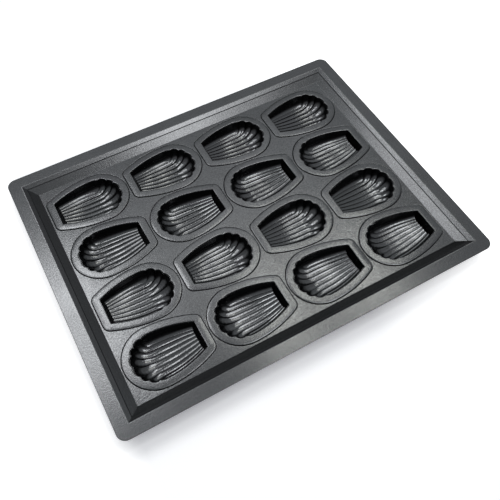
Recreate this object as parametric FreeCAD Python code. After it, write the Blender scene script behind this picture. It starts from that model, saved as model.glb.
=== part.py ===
"""Madeleine pan: one pressed steel tray with sixteen separately pressed shell cups crimped into its floor.

Millimetres, +Z up. The origin is under the middle of the pan, on the surface that the cups stand on.
X runs along the long side, and so do the cups.
"""
import FreeCAD, Part
import math
import os

# Cups: how many, and the strip of tray floor left between their seams and at the foot of the walls
cup_columns = 4
cup_rows = 4
strip_between_columns = 1.5
strip_between_rows = 0.7
strip_to_end_wall = 1.2
strip_to_side_wall = 2.2

# Cup mouth, seen from above: a straight narrow end, two bowed sides and a round scalloped end
cup_sheet = 0.6
mouth_straight_run = 44.6
mouth_round_radius = 24.0
mouth_side_radius = 106.0
lip_radius = 1.0
lip_land = 0.1

# Cup hollow: fluted like a shell, deepest towards the round end, with steep sides and a rounder tip. The
# exponents say how boxy the bowl is. The side flutes' upper edges run behind the ridges by a lag, so that
# every section leans back as it swings up into the mouth.
floor_depth = 14.0
narrow_depth = 8.0
deepest_run = 40.0
side_exponent = 4.0
tip_exponent = 2.0
narrow_wall_draft = 23.0
side_wall_draft = 6.0
floor_relief = 0.5
scallop_relief = 1.8
scallop_setback = 0.9
scallop_onset = 4.0
scallop_cusp_angles = (28.0, 49.0, 73.0)
side_flute_lag = 8.0

# Margin: it slopes down from the lip to a bent edge, which stands above the tray's floor
margin_width = 8.0
tip_margin = 8.6
lip_flat = 2.4
margin_drop = 0.15
margin_rise = 0.8

# Seam: the margin's collar is turned down and sits in a channel hemmed round each hole of the tray
seam_clearance = 0.05
seam_bend_radius = 1.0
collar_drop = 2.0
channel_return = 1.2
channel_bend_radius = 0.5
channel_edge_radius = 0.5

# Tray: sunken well, a flat flange and a hemmed outer edge. Each wall climbs from the floor to a short
# steep step, and a gentle shoulder leads from there to the flange.
tray_sheet = 0.6
well_depth = 8.1
wall_run = 12.7
shoulder_run = 4.3
shoulder_drop = 2.4
step_run = 0.5
step_drop = 0.7
flange_width = 13.1
flange_corner_radius = 9.0
rim_bend_radius = 2.0
shoulder_bend_radius = 1.0
step_bend_radius = 0.4
foot_bend_radius = 0.4
hem_width = 7.0
hem_edge_radius = 0.5

# Modelling allowances: how far tools reach past what they cut, flat laps where stretches of the sheet run
# on into each other, the tolerance for finding edges, and the stations that flutes and bends are drawn through
reach = 3.0
flat_lap = 1.2
flange_lap = 4.0
touch = 1e-4
floor_stations = 9
bowl_stations = 9
side_steps = 6
bend_stations = 4

# Places on the mouth, in the cup's own frame, whose origin is the middle of the mouth's length
mouth_length = mouth_straight_run + mouth_round_radius
narrow_x = -mouth_length / 2.0
round_x = narrow_x + mouth_straight_run
deepest_x = narrow_x + deepest_run
narrow_slope = math.tan(math.radians(narrow_wall_draft))
side_lean = math.tan(math.radians(side_wall_draft))
flutes_per_side = len(scallop_cusp_angles) + 1
mouth_height = margin_rise + margin_drop

seam_length = margin_width + mouth_length + tip_margin
seam_width = 2.0 * (margin_width + mouth_round_radius)
pitch_x = seam_length + strip_between_columns
pitch_y = seam_width + strip_between_rows
floor_length = (cup_columns - 1) * pitch_x + mouth_length + 2.0 * (tip_margin + strip_to_end_wall)
floor_width = (cup_rows - 1) * pitch_y + seam_width + 2.0 * strip_to_side_wall


def vec(x, y, z=0.0):
    return FreeCAD.Vector(x, y, z)


def side_half_width(x):
    """Half the mouth's width at x along the bowed side, as drawn by its large arc."""
    if x >= round_x:
        return mouth_round_radius
    rise = math.sqrt(mouth_side_radius ** 2 - (x - round_x) ** 2)
    return mouth_round_radius - mouth_side_radius + rise


def side_slope(x):
    """How fast the half width grows with x."""
    if x >= round_x:
        return 0.0
    return (round_x - x) / math.sqrt(mouth_side_radius ** 2 - (x - round_x) ** 2)


def seam_outline(offset, height=0.0):
    """Closed wire at a distance outside the mouth's smooth outline, drawn out a little past the round end."""
    half = side_half_width(narrow_x)
    turn = math.atan2(mouth_straight_run, half + mouth_side_radius - mouth_round_radius)
    mid_turn = (turn + math.pi / 2.0) / 2.0
    corner = vec(narrow_x, half)
    side_centre = vec(round_x, mouth_round_radius - mouth_side_radius)
    tip_x = round_x + (tip_margin - margin_width) * offset / margin_width

    def mirrored(point):
        return vec(point.x, -point.y)

    low_end = vec(narrow_x - offset, -half)
    high_end = mirrored(low_end)
    corner_mid = corner + vec(-math.sin(mid_turn), math.cos(mid_turn)) * offset
    corner_end = corner + vec(-math.sin(turn), math.cos(turn)) * offset
    side_mid = side_centre + vec(-math.sin(turn / 2.0), math.cos(turn / 2.0)) * (mouth_side_radius + offset)
    side_end = vec(round_x, mouth_round_radius + offset)
    tip_end = vec(tip_x, mouth_round_radius + offset)
    tip = vec(tip_x + mouth_round_radius + offset, 0.0)
    edges = [
        Part.makeLine(low_end, high_end),
        Part.Arc(high_end, corner_mid, corner_end).toShape(),
        Part.Arc(corner_end, side_mid, side_end).toShape(),
        Part.makeLine(side_end, tip_end),
        Part.Arc(tip_end, tip, mirrored(tip_end)).toShape(),
        Part.makeLine(mirrored(tip_end), mirrored(side_end)),
        Part.Arc(mirrored(side_end), mirrored(side_mid), mirrored(corner_end)).toShape(),
        Part.Arc(mirrored(corner_end), mirrored(corner_mid), low_end).toShape(),
    ]
    wire = Part.Wire(edges)
    wire.translate(vec(0, 0, height))
    return wire


def slab(wire, bottom, top):
    """Flat outline made solid between two heights."""
    face = Part.Face(wire)
    face.translate(vec(0, 0, bottom))
    return face.extrude(vec(0, 0, top - bottom))


def seam_ring(inner, outer, bottom, top):
    """Wall of even thickness that follows the seam."""
    return slab(seam_outline(outer), bottom, top).cut(slab(seam_outline(inner), bottom - reach, top + reach))


def bowl_depth(x):
    """Depth of the smooth bowl along the cup's middle."""
    if x >= deepest_x:
        return floor_depth
    share = (deepest_x - x) / deepest_run
    return floor_depth - (floor_depth - narrow_depth) * share ** 2


def bowl_half_width(x):
    """Half width of the smooth bowl that the ridges between flutes lie on."""
    return side_half_width(x) - scallop_setback


def bowl_share(x, y):
    """How far out a place lies in the bowl: 0 along the middle, 1 at the mouth."""
    if x < round_x:
        return min(abs(y) / bowl_half_width(x), 1.0)
    return min(math.hypot(x - round_x, y) / bowl_half_width(round_x), 1.0)


def bowl_exponent(x, y):
    """How boxy the bowl is at a place: steep along the sides, rounder towards the tip."""
    if x <= round_x:
        return side_exponent
    aside = y ** 2 / ((x - round_x) ** 2 + y ** 2)
    return tip_exponent + (side_exponent - tip_exponent) * aside


def bowl_point(x, y, share, out):
    """Point of the smooth bowl in plan at (x, y), as high as its share says, moved out along the normal."""
    depth = bowl_depth(x)
    boxy = bowl_exponent(x, y)
    drop = (1.0 - share ** boxy) ** (1.0 / boxy)
    radius = bowl_half_width(x)
    if x < round_x:
        share_x = -share * side_slope(x) / radius
        share_y = math.copysign(1.0, y) / radius
    else:
        away = max(math.hypot(x - round_x, y), touch)
        share_x = (x - round_x) / away / radius
        share_y = y / away / radius
    depth_slope = 0.0
    if x < deepest_x:
        depth_slope = 2.0 * (floor_depth - narrow_depth) * (deepest_x - x) / deepest_run ** 2
    wide = share ** (boxy - 1.0)
    deep = drop ** (boxy - 1.0)
    normal = vec(wide * share_x - deep * drop * depth_slope / depth, wide * share_y, -deep / depth)
    normal.normalize()
    return vec(x, y, -depth * drop) + normal * out


def ridge_place(ridge, station):
    """Plan position of a ridge between flutes at a station: along the floor, then up the round end."""
    side = math.copysign(1.0, ridge)
    number = abs(ridge)
    start_x = narrow_x - reach
    if station < floor_stations:
        x = start_x + (round_x - start_x) * station / (floor_stations - 1)
        return x, side * bowl_half_width(x) * number / flutes_per_side
    radius = bowl_half_width(round_x)
    swing = math.sin(math.pi / 2.0 * (station - floor_stations + 1) / bowl_stations)
    start_y = radius * number / flutes_per_side
    angle = math.radians(((0.0,) + scallop_cusp_angles)[number])
    cusp_x = round_x + radius * math.cos(angle)
    cusp_y = radius * math.sin(angle)
    bend_x = (round_x + cusp_x) / 2.0
    if number:
        bend_x = round_x + start_y / math.tan(angle)
    first, middle, last = (1.0 - swing) ** 2, 2.0 * swing * (1.0 - swing), swing ** 2
    x = first * round_x + middle * bend_x + last * cusp_x
    y = first * start_y + middle * start_y + last * cusp_y
    return x, side * y


def mouth_place(station):
    """Plan position where the outermost flute meets the mouth at a station."""
    start_x = narrow_x - reach
    last_x = round_x - side_flute_lag
    if station < floor_stations:
        x = start_x + (last_x - start_x) * station / (floor_stations - 1)
    else:
        x = last_x + side_flute_lag * (station - floor_stations + 1) / bowl_stations
    return x, side_half_width(x)


def flute_relief(x, share):
    """Depth of a flute below its two ridges: shallow on the floor, deepest where it scallops the mouth."""
    relief = floor_relief + (scallop_relief - floor_relief) * share ** scallop_onset
    return relief * bowl_half_width(min(x, round_x)) / bowl_half_width(round_x)


def ridged_flute(near, far, out):
    """Arc across a flute between two ridges."""
    near_share = bowl_share(*near)
    far_share = bowl_share(*far)
    x = (near[0] + far[0]) / 2.0
    y = (near[1] + far[1]) / 2.0
    share = (near_share + far_share) / 2.0
    stretch = share / bowl_share(x, y)
    if x >= round_x:
        x = round_x + (x - round_x) * stretch
    middle = bowl_point(x, y * stretch, share, out + flute_relief(x, share))
    ends = [bowl_point(*near, near_share, out), bowl_point(*far, far_share, out)]
    return [ends[0], middle, ends[1]]


def side_flute(ridge, mouth, out):
    """Points across the outermost flute, from its ridge on the floor up the leaning side to the mouth."""
    first = bowl_share(*ridge)
    points = []
    for step in range(side_steps + 1):
        turn = math.pi / 2.0 * step / side_steps
        along = math.sin(turn)
        x = ridge[0] + (mouth[0] - ridge[0]) * along
        y = ridge[1] + (mouth[1] - ridge[1]) * along
        share = first + (1.0 - first) * along
        hollow = 4.0 * flute_relief(x, 0.0) * along * (1.0 - along)
        point = bowl_point(x, y, share, out + hollow)
        point.y -= math.copysign(side_lean * along * point.z, y)
        points.append(point)
    return points


def flute_edge(points):
    """Arc through three points, or a smooth curve through more."""
    if len(points) == 3:
        return Part.Arc(*points).toShape()
    curve = Part.BSplineCurve()
    curve.interpolate(points)
    return curve.toShape()


def flute_section(station, out):
    """Edges across the flutes at one station, from mouth to mouth, and the flat top that closes them."""
    ridges = [ridge_place(number, station) for number in range(1 - flutes_per_side, flutes_per_side)]
    mouth_x, mouth_y = mouth_place(station)
    flutes = [side_flute(ridges[0], (mouth_x, -mouth_y), out)[::-1]]
    flutes += [ridged_flute(near, far, out) for near, far in zip(ridges[:-1], ridges[1:])]
    flutes.append(side_flute(ridges[-1], (mouth_x, mouth_y), out))
    if station == 0:
        flutes = [[vec(narrow_x - reach, point.y, point.z) for point in flute] for flute in flutes]
    edges = [flute_edge(flute) for flute in flutes]
    edges.append(Part.makeLine(flutes[-1][-1], flutes[0][0]))
    return edges


def flute_body(out):
    """Solid inside the fluted surface: a ruled loft through sections that swing up into the mouth."""
    stations = range(floor_stations + bowl_stations)
    return Part.makeLoft([Part.Wire(flute_section(station, out)) for station in stations], True, True)


def mouth_tool():
    """Upright cut to the mouth's outline, as deep as the lip is round."""
    edges = flute_section(floor_stations + bowl_stations - 1, 0.0)[:-1]
    middle_x = (narrow_x + round_x) / 2.0
    for side in (-1.0, 1.0):
        ends = [vec(x, side * side_half_width(x)) for x in (narrow_x, middle_x, round_x)]
        edges.append(Part.Arc(*ends).toShape())
    half = side_half_width(narrow_x)
    edges.append(Part.makeLine(vec(narrow_x, -half), vec(narrow_x, half)))
    upright = slab(Part.Wire(Part.__sortEdges__(edges)), -lip_radius - lip_land, reach)
    return upright.cut(narrow_end_tool(0.0))


def narrow_end_tool(out):
    """Everything beyond the sloping wall at the cup's narrow end."""
    shift = out / math.cos(math.radians(narrow_wall_draft))
    foot = -floor_depth - 2.0 * reach
    wall_foot_x = narrow_x - shift - foot * narrow_slope
    wall_top_x = narrow_x - shift - reach * narrow_slope
    far_x = narrow_x - 3.0 * reach
    corners = [(wall_foot_x, foot), (wall_top_x, reach), (far_x, reach), (far_x, foot), (wall_foot_x, foot)]
    half = mouth_round_radius + reach
    outline = Part.makePolygon([vec(x, -half, z) for x, z in corners])
    return Part.Face(outline).extrude(vec(0, 2.0 * half, 0))


def flat_edges(shape, path):
    """Edges of a shape that lie on a wire."""
    found = []
    for edge in shape.Edges:
        middle = edge.valueAt((edge.FirstParameter + edge.LastParameter) / 2.0)
        ends = [vertex.Point for vertex in edge.Vertexes]
        if all(path.distToShape(Part.Vertex(point))[0] < touch for point in [middle] + ends):
            found.append(edge)
    return found


def margin_body(inset):
    """Solid under the margin and inside the collar, or the space that the sheet leaves inside it."""
    edge = margin_width - seam_clearance / 2.0
    slope = math.atan2(margin_drop, edge - lip_flat)
    centre = edge - seam_bend_radius
    centre_z = -(centre - lip_flat) * math.tan(slope) - seam_bend_radius / math.cos(slope)
    radius = seam_bend_radius - inset
    sections = [seam_outline(edge - inset, -mouth_height - collar_drop)]
    for station in range(bend_stations + 1):
        angle = (math.pi / 2.0 - slope) * station / bend_stations
        sections.append(seam_outline(centre + radius * math.cos(angle), centre_z + radius * math.sin(angle)))
    sections.append(seam_outline(lip_flat, -inset / math.cos(slope)))
    return Part.makeLoft(sections, True, True)


def shell_cup():
    """One pressed cup: fluted hollow, sloping margin and down-turned collar. Its mouth is at height 0."""
    hollow = flute_body(0.0).cut(narrow_end_tool(0.0))
    outside = flute_body(cup_sheet).cut(narrow_end_tool(cup_sheet))
    margin = margin_body(0.0).cut(margin_body(cup_sheet))
    blank = margin.fuse(outside).cut(mouth_tool()).removeSplitter()
    top = max(blank.Faces, key=lambda face: face.Area if face.BoundBox.ZMin > -touch else 0.0)
    mouth = min(top.Wires, key=lambda wire: wire.BoundBox.XLength)
    return blank.makeFillet(lip_radius, mouth.Edges).cut(hollow).removeSplitter()


def channel_rim():
    """Edge of one hole in the tray: bent down, in under the cup's collar and up again behind it."""
    lip = margin_width + seam_clearance / 2.0
    behind = lip - 2.0 * seam_clearance - cup_sheet
    back = behind - tray_sheet
    under = -collar_drop - tray_sheet
    rings = [
        seam_ring(lip, lip + tray_sheet, under, 0.0),
        seam_ring(back, lip + tray_sheet, under, -collar_drop),
        seam_ring(back, behind, under, -collar_drop + channel_return),
    ]
    rim = rings[0].fuse(rings[1:]).removeSplitter()
    rim = rim.makeFillet(channel_bend_radius, flat_edges(rim, seam_outline(lip)))
    lower = flat_edges(rim, seam_outline(lip + tray_sheet, under))
    lower += flat_edges(rim, seam_outline(back, under))
    return rim.makeFillet(channel_edge_radius, lower)


def rounded_section(points, radii):
    """Closed flat profile in the XZ plane, each corner rounded by its radius or left sharp."""
    edges = []
    begin = None
    last = None
    count = len(points)
    for number in range(count):
        here = vec(points[number][0], 0, points[number][1])
        before = vec(points[number - 1][0], 0, points[number - 1][1])
        after = vec(points[(number + 1) % count][0], 0, points[(number + 1) % count][1])
        back = (before - here).normalize()
        on = (after - here).normalize()
        enter = here
        leave = here
        if radii[number] > 0.0:
            half = back.getAngle(on) / 2.0
            run = radii[number] / math.tan(half)
            enter = here + back * run
            leave = here + on * run
            middle = here + (back + on).normalize() * (radii[number] / math.sin(half) - radii[number])
        if last is not None:
            edges.append(Part.makeLine(last, enter))
        else:
            begin = enter
        if radii[number] > 0.0:
            edges.append(Part.Arc(enter, middle, leave).toShape())
        last = leave
    edges.append(Part.makeLine(last, begin))
    return Part.Wire(edges)


def rounded_rectangle(half_x, half_y, radius):
    """Rectangle about the origin with arcs at its corners."""
    turn = radius * (1.0 - math.sqrt(0.5))
    edges = []
    for x, y in ((1, 1), (-1, 1), (-1, -1), (1, -1)):
        flat = vec(x * (half_x - radius), y * half_y)
        upright = vec(x * half_x, y * (half_y - radius))
        middle = vec(x * (half_x - turn), y * (half_y - turn))
        edges.append(Part.Arc(upright, middle, flat).toShape())
        if x == y:
            edges.append(Part.makeLine(flat, vec(-flat.x, flat.y)))
        else:
            edges.append(Part.makeLine(upright, vec(upright.x, -upright.y)))
    return Part.Wire(Part.__sortEdges__(edges))


def offset_path(points, distance):
    """Open path moved to its right by the same distance all along, with its corners mitred."""
    turns = [math.atan2(far[1] - near[1], far[0] - near[0]) for near, far in zip(points[:-1], points[1:])]
    moved = []
    for (x, z), before, after in zip(points, turns[:1] + turns, turns + turns[-1:]):
        turn = (before + after) / 2.0
        mitre = distance / math.cos((after - before) / 2.0)
        moved.append((x + mitre * math.sin(turn), z - mitre * math.cos(turn)))
    return moved


def wall_piece(half_across, half_along):
    """One side of the well, facing +X: wall, step and shoulder up to the flange, mitred at both ends."""
    upper = [
        (-flat_lap, 0.0),
        (0.0, 0.0),
        (wall_run - shoulder_run - step_run, well_depth - shoulder_drop - step_drop),
        (wall_run - shoulder_run, well_depth - shoulder_drop),
        (wall_run, well_depth),
        (wall_run + flange_lap, well_depth),
    ]
    lower = offset_path(upper, tray_sheet)
    bends = [0.0, foot_bend_radius, step_bend_radius, shoulder_bend_radius, rim_bend_radius, 0.0]
    back_bends = [
        0.0,
        rim_bend_radius - tray_sheet,
        shoulder_bend_radius - tray_sheet,
        step_bend_radius + tray_sheet,
        foot_bend_radius + tray_sheet,
        0.0,
    ]
    points = [(half_across + u, z) for u, z in upper + lower[::-1]]
    profile = rounded_section(points, bends + back_bends)
    far = half_along + wall_run + flange_lap
    profile.translate(vec(0, -far, 0))
    run = Part.Face(profile).extrude(vec(0, 2.0 * far, 0))
    inner = vec(half_across - flat_lap, half_along - flat_lap)
    outer = vec(half_across + wall_run + flange_lap, far)
    corners = [inner, outer, vec(outer.x, -outer.y), vec(inner.x, -inner.y), inner]
    return run.common(slab(Part.makePolygon(corners), -reach, well_depth + reach))


def flange():
    """Flat rim round the well, with its outer edge folded under and pressed flat."""
    half_x = floor_length / 2.0 + wall_run + flange_width
    half_y = floor_width / 2.0 + wall_run + flange_width
    outline = rounded_rectangle(half_x, half_y, flange_corner_radius)
    under = well_depth - 2.0 * tray_sheet
    fold_radius = max(flange_corner_radius - hem_width, tray_sheet)
    inside = rounded_rectangle(half_x - hem_width, half_y - hem_width, fold_radius)
    fold = slab(inside, under - reach, under + tray_sheet)
    hole_x = 2.0 * (half_x - flange_width + flange_lap)
    hole_y = 2.0 * (half_y - flange_width + flange_lap)
    hole = Part.makeBox(hole_x, hole_y, 2.0 * reach, vec(-hole_x / 2.0, -hole_y / 2.0, well_depth - reach))
    sheet = slab(outline, under, well_depth).cut([fold, hole])
    upper = outline.copy()
    upper.translate(vec(0, 0, well_depth))
    lower = outline.copy()
    lower.translate(vec(0, 0, under))
    return sheet.makeFillet(hem_edge_radius, flat_edges(sheet, upper) + flat_edges(sheet, lower))


def cup_places():
    """Name and placement of every cup, row by row from the back. Every second row is turned round."""
    places = []
    for row in range(cup_rows):
        for column in range(cup_columns):
            x = (column - (cup_columns - 1) / 2.0) * pitch_x
            y = ((cup_rows - 1) / 2.0 - row) * pitch_y
            turn = FreeCAD.Rotation(vec(0, 0, 1), 180.0 * (row % 2))
            name = f"shell_cup_row{row + 1}_col{column + 1}"
            places.append((name, FreeCAD.Placement(vec(x, y), turn)))
    return places


def placed(shape, place):
    copy = shape.copy()
    copy.Placement = place.multiply(copy.Placement)
    return copy


def tray(places):
    """The tray in one sheet: floor with a hemmed hole for every cup, four walls and the flange."""
    half_x = floor_length / 2.0
    half_y = floor_width / 2.0
    plate = Part.makeBox(
        floor_length - 2.0 * flat_lap,
        floor_width - 2.0 * flat_lap,
        tray_sheet,
        vec(flat_lap - half_x, flat_lap - half_y, -tray_sheet),
    )
    pieces = [flange()]
    for quarter in range(4):
        across, along = (half_x, half_y) if quarter % 2 == 0 else (half_y, half_x)
        wall = wall_piece(across, along)
        wall.rotate(vec(0, 0), vec(0, 0, 1), 90.0 * quarter)
        pieces.append(wall)
    opening = slab(seam_outline(margin_width + seam_clearance / 2.0 + tray_sheet), -reach, reach)
    rim = channel_rim()
    holed = plate.fuse(pieces).cut([placed(opening, place) for _, place in places])
    return holed.fuse([placed(rim, place) for _, place in places]).removeSplitter()


places = cup_places()
cup = shell_cup()
cup.translate(vec(0, 0, mouth_height))
lift = vec(0, 0, -cup.optimalBoundingBox(False).ZMin)
nodes = {"tray": tray(places)}
for name, place in places:
    nodes[name] = placed(cup, place)

os.makedirs("parts", exist_ok=True)
for name, shape in nodes.items():
    shape.translate(lift)
    shape.exportStep(f"parts/{name}.step")
    state = "valid" if shape.isValid() else "not valid"
    print(name, len(shape.Solids), "solid", state, round(shape.Volume, 1), "cubic mm")
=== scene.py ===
import bpy
import math
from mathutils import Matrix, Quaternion, Vector


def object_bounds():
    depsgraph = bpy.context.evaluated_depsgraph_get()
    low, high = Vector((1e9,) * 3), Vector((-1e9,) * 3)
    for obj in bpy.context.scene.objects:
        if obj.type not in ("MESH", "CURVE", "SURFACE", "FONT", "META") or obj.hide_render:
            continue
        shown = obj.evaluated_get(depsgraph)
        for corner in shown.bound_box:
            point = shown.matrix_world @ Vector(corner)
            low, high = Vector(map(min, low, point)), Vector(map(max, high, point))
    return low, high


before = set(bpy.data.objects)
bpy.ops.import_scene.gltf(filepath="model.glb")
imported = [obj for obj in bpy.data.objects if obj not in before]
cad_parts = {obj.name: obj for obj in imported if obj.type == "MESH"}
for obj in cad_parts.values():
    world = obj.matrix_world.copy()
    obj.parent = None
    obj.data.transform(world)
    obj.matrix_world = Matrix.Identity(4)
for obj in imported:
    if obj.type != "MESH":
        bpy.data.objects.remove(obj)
packed_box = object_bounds()

# Tray
# One sheet of steel pressed into a shallow well, with a hole hemmed for every cup and its rim folded under.
# It is sprayed all over with a charcoal non-stick coating that dries satin, with a fine metallic grain.


class Wire:
    """A value in a node tree. Arithmetic on it adds Math nodes, and node() adds any other node."""

    def __init__(self, tree, socket=None):
        self.tree = tree
        self.socket = socket

    def node(self, kind, settings, sockets, output=0):
        added = self.tree.nodes.new(kind)
        for name, value in settings.items():
            setattr(added, name, value)
        for name, value in sockets.items():
            if isinstance(value, Wire):
                self.tree.links.new(value.socket, added.inputs[name])
            else:
                added.inputs[name].default_value = value
        return Wire(self.tree, added.outputs[output] if added.outputs else None)

    def maths(self, operation, first, second):
        return self.node("ShaderNodeMath", {"operation": operation}, {0: first, 1: second})

    def __add__(self, other):
        return self.maths("ADD", self, other)

    def __radd__(self, other):
        return self.maths("ADD", other, self)

    def __sub__(self, other):
        return self.maths("SUBTRACT", self, other)

    def __rsub__(self, other):
        return self.maths("SUBTRACT", other, self)

    def __mul__(self, other):
        return self.maths("MULTIPLY", self, other)

    def __rmul__(self, other):
        return self.maths("MULTIPLY", other, self)


def share(value, none_at, full_at):
    """How far a value has come from one limit to another, from 0 to 1."""
    return value.node("ShaderNodeMapRange", {}, {"Value": value, "From Min": none_at, "From Max": full_at})


def blotches(place, per_metre, detail):
    """Random light and dark patches, so many to a metre."""
    return place.node("ShaderNodeTexNoise", {}, {"Vector": place, "Scale": per_metre, "Detail": detail})


def blend(amount, first, second):
    """Colour between two colours. The Mix node repeats its socket names, so the numbers pick them."""
    amount_socket = 0
    first_socket = 6
    second_socket = 7
    colour_output = 2
    sockets = {amount_socket: amount, first_socket: first, second_socket: second}
    return amount.node("ShaderNodeMix", {"data_type": "RGBA"}, sockets, colour_output)


def empty_material(name):
    material = bpy.data.materials.new(name)
    material.use_nodes = True
    material.node_tree.nodes.clear()
    return material


def satin_coating(name, charcoal, steep_painted_shade, roughness, polish):
    """Sprayed coating: cloudy, flecked and faintly pebbled, with painted shade on steep walls, smoother in a
    hollow.
    """
    clouds_per_metre = 24.0
    flecks_per_metre = 950.0
    pebbles_per_metre = 800.0
    thin_part = 1.1
    thick_part = 0.9
    fleck_part = 1.75
    fleck_cover = 0.55
    thick_dulling = 0.015
    fleck_gloss = 0.03
    pebble_height = 0.0002
    pebble_strength = 0.3
    cloud_edges = (0.35, 0.65)
    fleck_edges = (0.35, 0.7)
    # How much a face looks up or down, squared, from 0 on an upright wall to 1 on a level floor; steep faces
    # get painted shade by it.
    steep_look = 0.16
    level_look = 0.9
    # Heights above the table between which a hollow's smoother surface begins.
    lip_height = 0.0145
    hollow_height = 0.012

    def shade(part):
        return [channel * part for channel in charcoal] + [1.0]

    material = empty_material(name)
    shader = Wire(material.node_tree)
    place = shader.node("ShaderNodeTexCoord", {}, {}, "Object")
    height = shader.node("ShaderNodeSeparateXYZ", {}, {"Vector": place}, "Z")
    facing = shader.node("ShaderNodeTexCoord", {}, {}, "Normal")
    upward = shader.node("ShaderNodeSeparateXYZ", {}, {"Vector": facing}, "Z")

    thick = share(blotches(place, clouds_per_metre, detail=3.0), *cloud_edges)
    fleck = share(blotches(place, flecks_per_metre, detail=2.0), *fleck_edges)
    level = share(upward * upward, steep_look, level_look)
    hollow = share(height, lip_height, hollow_height)

    sprayed = blend(thick, shade(thin_part), shade(thick_part))
    flecked = blend(fleck * fleck_cover, sprayed, shade(fleck_part))
    # Painted shade: the coat is darkened on steep walls, where the room's light falls off.
    with_painted_shade = blend(level, shade(steep_painted_shade), flecked)
    dull = roughness + thick_dulling * thick - fleck_gloss * fleck - polish * hollow
    pebbled = shader.node("ShaderNodeBump", {}, {
        "Height": blotches(place, pebbles_per_metre, detail=1.0),
        "Strength": pebble_strength, "Distance": pebble_height})
    surface = shader.node("ShaderNodeBsdfPrincipled", {}, {
        "Base Color": with_painted_shade, "Metallic": 1.0, "Roughness": dull, "Normal": pebbled})
    shader.node("ShaderNodeOutputMaterial", {}, {"Surface": surface})
    return material


def pressed_shading(name, crease):
    """Node tree that shades a pressed sheet smoothly and keeps every crease sharper than an angle."""
    weld_distance = 2e-6
    tree = bpy.data.node_groups.new(name, "GeometryNodeTree")
    tree.interface.new_socket("Sheet", in_out="INPUT", socket_type="NodeSocketGeometry")
    tree.interface.new_socket("Sheet", in_out="OUTPUT", socket_type="NodeSocketGeometry")
    start = Wire(tree).node("NodeGroupInput", {}, {})
    plain = start.node("GeometryNodeRemoveAttribute", {}, {"Geometry": start, "Name": "custom_normal"})
    joined = start.node("GeometryNodeMergeByDistance", {}, {"Geometry": plain, "Distance": weld_distance})
    smooth = start.node("GeometryNodeSetShadeSmooth", {"domain": "FACE"}, {"Geometry": joined})
    angle = start.node("GeometryNodeInputMeshEdgeAngle", {}, {})
    sharp = start.node("FunctionNodeCompare", {"operation": "GREATER_THAN"}, {0: angle, 1: crease})
    creased = {"Geometry": smooth, "Selection": sharp, "Shade Smooth": False}
    split = start.node("GeometryNodeSetShadeSmooth", {"domain": "EDGE"}, creased)
    start.node("NodeGroupOutput", {}, {"Sheet": split})
    return tree


def dress(node, coating, shading):
    node.data.materials.clear()
    node.data.materials.append(coating)
    node.modifiers.new("pressed shading", "NODES").node_group = shading


coating_charcoal = (0.093, 0.095, 0.098)
coating_roughness = 0.22
crease_angle = math.radians(30.0)
sheet_shading = pressed_shading("pressed shading", crease_angle)
# The tray's steep walls get a little painted shade.
tray_coating = satin_coating(
    "tray coating", coating_charcoal, steep_painted_shade=0.9, roughness=coating_roughness, polish=0.0)
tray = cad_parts["tray"]
dress(tray, tray_coating, sheet_shading)
flats = tray.modifiers.new("flats stay flat", "WEIGHTED_NORMAL")
flats.mode = "FACE_AREA"
flats.keep_sharp = True

# Shell cups
# Each cup is pressed from the same gauge of sheet in a fluted die, and its collar is crimped into the tray.
# The deep drawing leaves the coating smoother in the flutes than on the tray, and the steep sides get strong
# painted shade.
cup_coating = satin_coating(
    "cup coating", coating_charcoal, steep_painted_shade=0.4, roughness=coating_roughness, polish=0.07)
cups = [node for name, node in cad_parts.items() if name.startswith("shell_cup")]
for cup in cups:
    dress(cup, cup_coating, sheet_shading)

# Table and light
# A plain white table under soft boxes that hang behind the pan, at its sides and overhead, in a dim room.
# The table glows more past the pan's two ends, so that the pan's shadow lies along its front alone.
# The room is darker low down and towards the front, and the coating goes dark where it turns that way.
table_half = 3.0
table_corners = [
    (-table_half, -table_half, 0.0), (table_half, -table_half, 0.0),
    (table_half, table_half, 0.0), (-table_half, table_half, 0.0)]
table_mesh = bpy.data.meshes.new("table")
table_mesh.from_pydata(table_corners, [], [(0, 1, 2, 3)])
table = bpy.data.objects.new("table", table_mesh)
bpy.context.scene.collection.objects.link(table)

table_white = (0.97, 0.97, 0.97, 1.0)
no_glow = (0.0, 0.0, 0.0, 1.0)
glow_by_pan = (0.235, 0.235, 0.25, 1.0)
glow_past_ends = (0.65, 0.65, 0.65, 1.0)
pan_left = packed_box[0].x
pan_right = packed_box[1].x
left_fade = 0.015
right_fade_start = 0.06
white_top = empty_material("white table top")
paper = Wire(white_top.node_tree)
seen = paper.node("ShaderNodeLightPath", {}, {}, "Is Camera Ray")
mirrored = paper.node("ShaderNodeLightPath", {}, {}, "Is Glossy Ray")
through = paper.node("ShaderNodeLightPath", {}, {}, "Is Transmission Ray")
table_place = paper.node("ShaderNodeTexCoord", {}, {}, "Object")
across = paper.node("ShaderNodeSeparateXYZ", {}, {"Vector": table_place}, "X")
left_end = share(across, pan_left + left_fade, pan_left - left_fade)
right_end = share(across, right_fade_start, pan_right)
paper_fill = blend(left_end + right_end, glow_by_pan, glow_past_ends)
paper_glow = blend(seen + mirrored + through, no_glow, paper_fill)
paper_surface = paper.node("ShaderNodeBsdfPrincipled", {}, {
    "Base Color": table_white, "Roughness": 1.0, "Specular IOR Level": 0.0,
    "Emission Color": paper_glow, "Emission Strength": 1.0})
paper.node("ShaderNodeOutputMaterial", {}, {"Surface": paper_surface})
table_mesh.materials.append(white_top)


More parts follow.
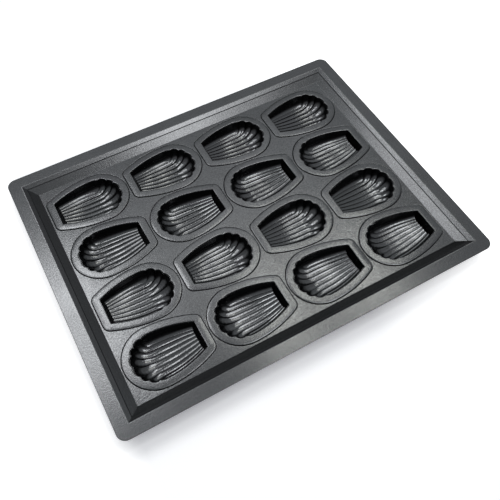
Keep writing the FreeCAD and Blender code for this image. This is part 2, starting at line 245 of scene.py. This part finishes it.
def soft_box(name, place, faced_y, width, depth, radiance, tint):
    """Lamp with a rectangular cloth that faces a line across the table, given how bright the cloth looks."""
    lamp = bpy.data.lights.new(name, "AREA")
    lamp.shape = "RECTANGLE"
    lamp.size = width
    lamp.size_y = depth
    lamp.energy = radiance * math.pi * width * depth
    lamp.color = tint
    holder = bpy.data.objects.new(name, lamp)
    holder.location = place
    facing = Vector((place[0], faced_y, 0.0)) - Vector(place)
    holder.rotation_euler = facing.to_track_quat("-Z", "Y").to_euler()
    bpy.context.scene.collection.objects.link(holder)


plain_cloth = (1.0, 1.0, 1.0)
warm_cloth = (1.0, 1.0, 0.92)
soft_box(
    "back left soft box", place=(-0.21, 0.70, 1.313), faced_y=-0.03,
    width=0.25, depth=0.45, radiance=5.9, tint=plain_cloth)
soft_box(
    "back right soft box", place=(0.36, 0.40, 1.33), faced_y=-0.13,
    width=0.15, depth=0.36, radiance=4.6, tint=warm_cloth)
soft_box(
    "far right soft box", place=(0.67, 0.40, 1.33), faced_y=-0.13,
    width=0.16, depth=0.36, radiance=5.0, tint=warm_cloth)
soft_box(
    "back soft box", place=(0.4, 0.8, 1.33), faced_y=0.0,
    width=0.8, depth=0.45, radiance=0.6, tint=plain_cloth)
soft_box(
    "left soft box", place=(-0.54, 0.49, 1.2), faced_y=-0.04,
    width=0.35, depth=0.56, radiance=3.0, tint=plain_cloth)
soft_box(
    "overhead strip box", place=(0.34, -0.38, 1.4), faced_y=0.1,
    width=0.32, depth=0.52, radiance=4.6, tint=plain_cloth)
soft_box(
    "overhead wide soft box", place=(0.36, -0.07, 1.4), faced_y=0.1,
    width=0.8, depth=0.2, radiance=4.3, tint=plain_cloth)
soft_box(
    "overhead right soft box", place=(0.6, -0.38, 1.4), faced_y=0.1,
    width=0.2, depth=0.52, radiance=1.8, tint=plain_cloth)

room_tint = (0.96, 1.0, 1.03, 1.0)
room_low_light = 0.14
room_high_light = 0.66
room_front_part = 0.72
room_back_part = 1.12
room_bend = 0.5
# A way is the upward or backward part of a direction in the room, from -1 to 1.
low_way = 0.1
high_way = 0.56
front_way = 0.2
back_way = 0.62
room = bpy.data.worlds.new("dim room")
room.use_nodes = True
room.node_tree.nodes.clear()
air = Wire(room.node_tree)
way = air.node("ShaderNodeTexCoord", {}, {}, "Generated")
way_up = air.node("ShaderNodeSeparateXYZ", {}, {"Vector": way}, "Z")
way_back = air.node("ShaderNodeSeparateXYZ", {}, {"Vector": way}, "Y")
ceiling = air.node("ShaderNodeMapRange", {"interpolation_type": "SMOOTHSTEP"}, {
    "Value": way_up - room_bend * way_back * way_back, "From Min": low_way, "From Max": high_way,
    "To Min": room_low_light, "To Max": room_high_light})
far_side = air.node("ShaderNodeMapRange", {}, {
    "Value": way_back, "From Min": front_way, "From Max": back_way,
    "To Min": room_front_part, "To Max": room_back_part})
room_light = air.node("ShaderNodeBackground", {}, {"Color": room_tint, "Strength": ceiling * far_side})
air.node("ShaderNodeOutputWorld", {}, {"Surface": room_light})
bpy.context.scene.world = room
bpy.context.scene.view_settings.view_transform = "Standard"

# Camera
# It looks down on the pan from the front left, close enough that the near edge is clearly the larger.
# Its angles, distance and lens follow from where the rim's corners and the cups' seams lie in the picture.
camera_azimuth = math.radians(-28.43)
camera_elevation = math.radians(57.88)
camera_distance = 0.60888
camera_roll = math.radians(-0.77)
camera_target = Vector((-0.01389, -0.04363, packed_box[1].z))
camera_sensor = 36.0
camera_lens = 44.34
camera_level = math.cos(camera_elevation)
camera_back = Vector((
    math.sin(camera_azimuth) * camera_level,
    -math.cos(camera_azimuth) * camera_level,
    math.sin(camera_elevation)))
camera_data = bpy.data.cameras.new("camera")
camera_data.sensor_width = camera_sensor
camera_data.lens = camera_lens
camera = bpy.data.objects.new("camera", camera_data)
camera.location = camera_target + camera_back * camera_distance
camera.rotation_mode = "QUATERNION"
straight = (-camera_back).to_track_quat("-Z", "Y")
camera.rotation_quaternion = straight @ Quaternion((0.0, 0.0, 1.0), camera_roll)
bpy.context.scene.collection.objects.link(camera)
bpy.context.scene.camera = camera
